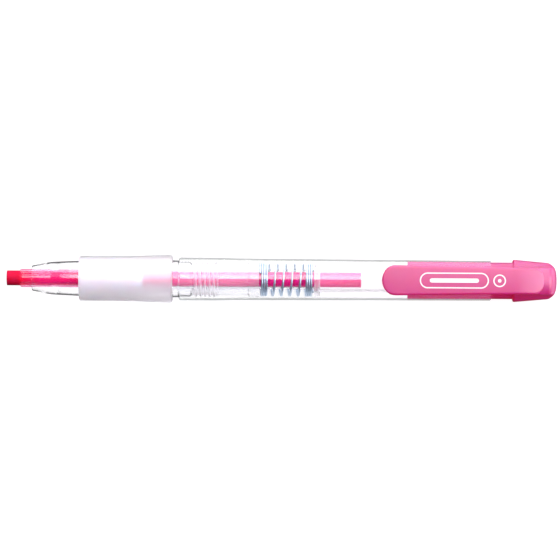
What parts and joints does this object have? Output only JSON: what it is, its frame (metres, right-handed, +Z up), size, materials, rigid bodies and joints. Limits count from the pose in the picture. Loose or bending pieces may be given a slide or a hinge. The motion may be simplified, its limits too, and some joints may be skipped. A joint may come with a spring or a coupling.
{
  "type": "retractable highlighter",
  "caption": "Push-button mechanical highlighter: a thick pink lead held by slit chuck fingers, with a clear barrel, frosted grip, return spring, and a pink push cap with a clip.",
  "frame": {"origin": "under the middle of the pen's length, on the surface that it lies on, below the pen's axis", "axes": "+X along the pen from the writing tip to the push cap, +Z up through the clip, +Y across"},
  "size_m": [0.1396, 0.012, 0.0134],
  "materials": {
    "lead": "waxy fluorescent pink lead, satin",
    "chuck": "clear moulded plastic, polished",
    "clear_tube": "clear extruded plastic, polished",
    "milky_plastic": "translucent milky plastic, satin",
    "clear_plastic": "clear moulded plastic, polished",
    "frosted_grip": "frosted translucent elastomer",
    "spring_steel": "bright drawn spring wire",
    "pink_plastic": "solid pink moulded plastic, smooth"
  },
  "bodies": {
    "barrel": {"barrel": "clear_plastic", "front_section": "clear_plastic", "grip_sleeve": "frosted_grip", "guide_bush": "milky_plastic", "return_spring": "spring_steel"},
    "push_cap": {"push_cap": "pink_plastic", "push_tube": "clear_tube", "spring_collar": "clear_tube", "lead_tube": "clear_tube", "chuck_root": "chuck"},
    "lead": {"lead": "lead"},
    "clip": {"clip": "pink_plastic"},
    "chuck_jaw_1": {"chuck_jaw_1": "chuck"},
    "chuck_jaw_2": {"chuck_jaw_2": "chuck"},
    "chuck_jaw_3": {"chuck_jaw_3": "chuck"},
    "chuck_jaw_4": {"chuck_jaw_4": "chuck"},
    "chuck_jaw_5": {"chuck_jaw_5": "chuck"},
    "chuck_jaw_6": {"chuck_jaw_6": "chuck"}
  },
  "joints": [
    {"name": "push", "type": "slide", "parent": "barrel", "child": "push_cap", "axis": [-1, 0, 0], "range_m": [0, 0.0055], "stiffness_N_per_m": 300, "springref_m": -0.002, "deforming": ["return_spring"]},
    {"name": "chuck_flex_1", "type": "hinge", "parent": "push_cap", "child": "chuck_jaw_1", "pos_m": [-0.05125, 0, 0.00385], "axis": [0, -1, 0], "range_deg": [0, 1]},
    {"name": "chuck_flex_2", "type": "hinge", "parent": "push_cap", "child": "chuck_jaw_2", "pos_m": [-0.05125, 0.00191, 0.00495], "axis": [0, -0.5, -0.866], "range_deg": [0, 1]},
    {"name": "chuck_flex_3", "type": "hinge", "parent": "push_cap", "child": "chuck_jaw_3", "pos_m": [-0.05125, 0.00191, 0.00715], "axis": [0, 0.5, -0.866], "range_deg": [0, 1]},
    {"name": "chuck_flex_4", "type": "hinge", "parent": "push_cap", "child": "chuck_jaw_4", "pos_m": [-0.05125, 0, 0.00825], "axis": [0, 1, 0], "range_deg": [0, 1]},
    {"name": "chuck_flex_5", "type": "hinge", "parent": "push_cap", "child": "chuck_jaw_5", "pos_m": [-0.05125, -0.00191, 0.00715], "axis": [0, 0.5, 0.866], "range_deg": [0, 1]},
    {"name": "chuck_flex_6", "type": "hinge", "parent": "push_cap", "child": "chuck_jaw_6", "pos_m": [-0.05125, -0.00191, 0.00495], "axis": [0, -0.5, 0.866], "range_deg": [0, 1]},
    {"name": "lead_feed", "type": "slide", "parent": "push_cap", "child": "lead", "axis": [-1, 0, 0], "range_m": [-0.006, 0.02]},
    {"name": "clip_flex", "type": "hinge", "parent": "push_cap", "child": "clip", "pos_m": [0.05955, 0, 0.0128], "axis": [0, 1, 0], "range_deg": [0, 4], "stiffness_Nm_per_rad": 1.8}
  ],
  "couplings": [
    {"joint": "chuck_flex_1", "follows": "push", "rad_per_m": 3.1702},
    {"joint": "chuck_flex_2", "follows": "push", "rad_per_m": 3.1702},
    {"joint": "chuck_flex_3", "follows": "push", "rad_per_m": 3.1702},
    {"joint": "chuck_flex_4", "follows": "push", "rad_per_m": 3.1702},
    {"joint": "chuck_flex_5", "follows": "push", "rad_per_m": 3.1702},
    {"joint": "chuck_flex_6", "follows": "push", "rad_per_m": 3.1702}
  ]
}
